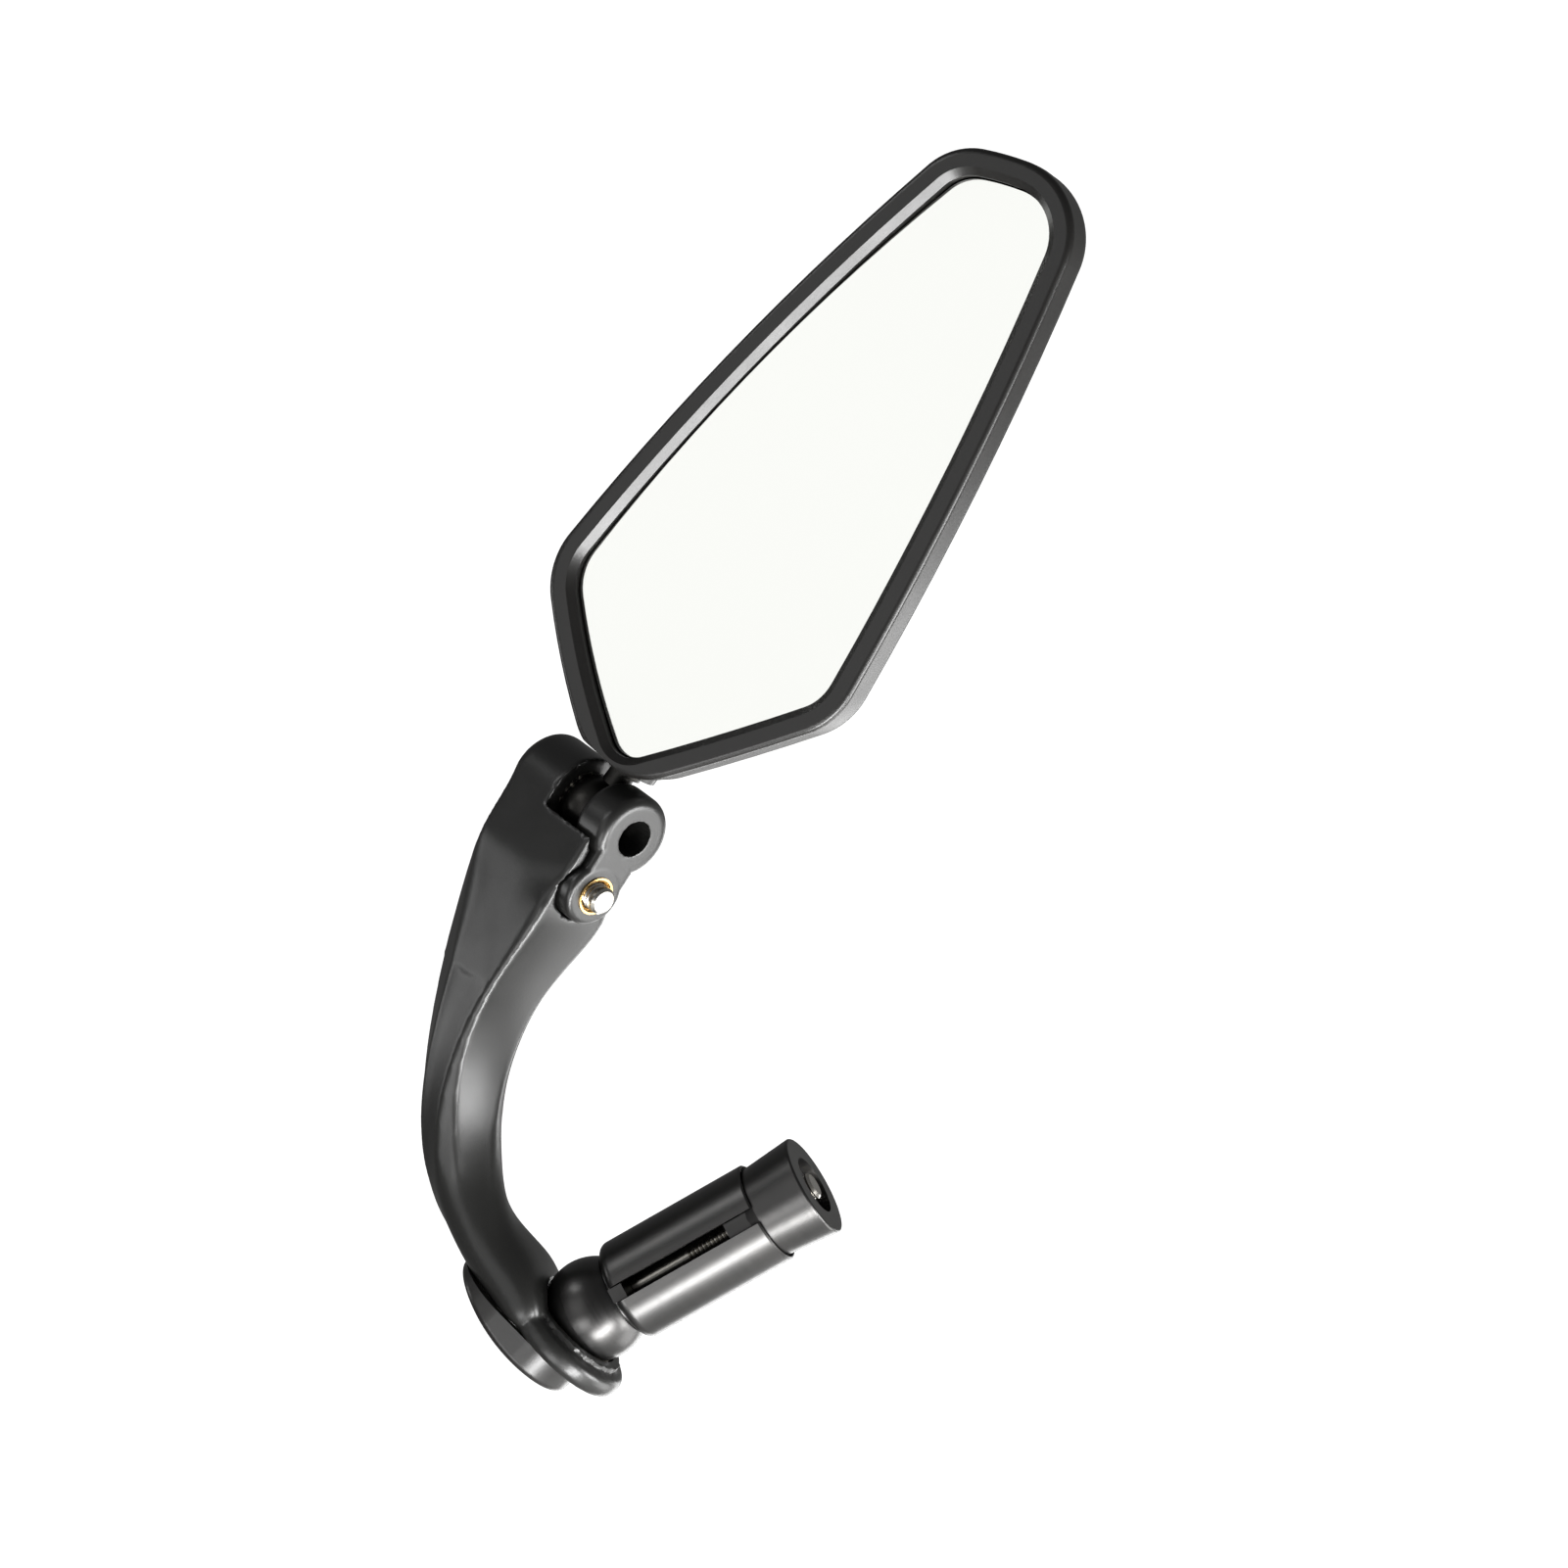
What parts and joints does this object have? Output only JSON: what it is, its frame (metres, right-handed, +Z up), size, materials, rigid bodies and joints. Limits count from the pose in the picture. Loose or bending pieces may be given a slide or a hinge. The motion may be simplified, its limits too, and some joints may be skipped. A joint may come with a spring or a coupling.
{
  "type": "bicycle mirror",
  "caption": "Bar-end bicycle mirror: an expanding plug, a ball swivel, a swept arm with a pinch clamp, and a long kite-shaped convex mirror on a ball stud.",
  "frame": {"origin": "on the plug's axis, where the sleeve's straight wall begins, 1.9 mm from its rounded outboard end", "axes": "+X along the plug into the handlebar, +Z up, -Y towards the rider"},
  "size_m": [0.1887, 0.0558, 0.151],
  "materials": {
    "machined_black": "black anodised, turned",
    "plastic_black": "moulded black nylon, satin",
    "nylon_black": "moulded glass-filled nylon, satin",
    "steel_bright": "zinc plated",
    "steel_black": "black oxide",
    "spring_steel": "blued spring steel",
    "brass": "turned",
    "liner": "moulded acetal",
    "mirror": "silvered, convex",
    "foam": "closed cell foam"
  },
  "bodies": {
    "plug": {"expander_sleeve": "machined_black", "plug_ball": "machined_black"},
    "cone": {"expander_cone": "machined_black", "expander_nut": "steel_bright"},
    "bolt": {"expander_bolt": "steel_bright"},
    "swivel_cup": {"pressure_cup": "steel_bright"},
    "arm": {"arm": "nylon_black", "arm_end_cap": "plastic_black", "ball_liner": "liner", "clamp_plate": "nylon_black", "clamp_insert": "brass", "clamp_screw": "steel_bright", "jaw_seat": "liner"},
    "stud": {"ball_stud": "steel_black", "neck_washer": "steel_bright", "neck_spring": "spring_steel", "neck_nut": "steel_bright"},
    "head": {"housing": "plastic_black", "bezel": "plastic_black", "mirror_glass": "mirror", "foam_pad": "foam", "neck_bush": "liner"}
  },
  "joints": [
    {"name": "bolt_turn", "type": "hinge", "parent": "plug", "child": "bolt", "pos_m": [0, 0, 0], "axis": [1, 0, 0], "range_deg": [-360, 360]},
    {"name": "cone_draw", "type": "slide", "parent": "plug", "child": "cone", "axis": [1, 0, 0], "range_m": [-0.0008, 0.0008]},
    {"name": "arm_swivel", "type": "hinge", "parent": "plug", "child": "swivel_cup", "pos_m": [-0.0077, 0, 0], "axis": [1, 0, 0], "continuous": true},
    {"name": "arm_tilt", "type": "hinge", "parent": "swivel_cup", "child": "arm", "pos_m": [-0.0077, 0, 0], "axis": [0, 0.9646, -0.2639], "range_deg": [-9, 9]},
    {"name": "head_fold", "type": "hinge", "parent": "arm", "child": "stud", "pos_m": [0.0374, 0.01984, 0.07254], "axis": [0.4302, -0.7569, -0.492], "range_deg": [-80, 80]},
    {"name": "head_spin", "type": "hinge", "parent": "stud", "child": "head", "pos_m": [0.0374, 0.01984, 0.07254], "axis": [0.9205, 0.1031, 0.3769], "continuous": true}
  ],
  "couplings": [
    {"joint": "cone_draw", "follows": "bolt_turn", "m_per_rad": -0.00012732}
  ]
}
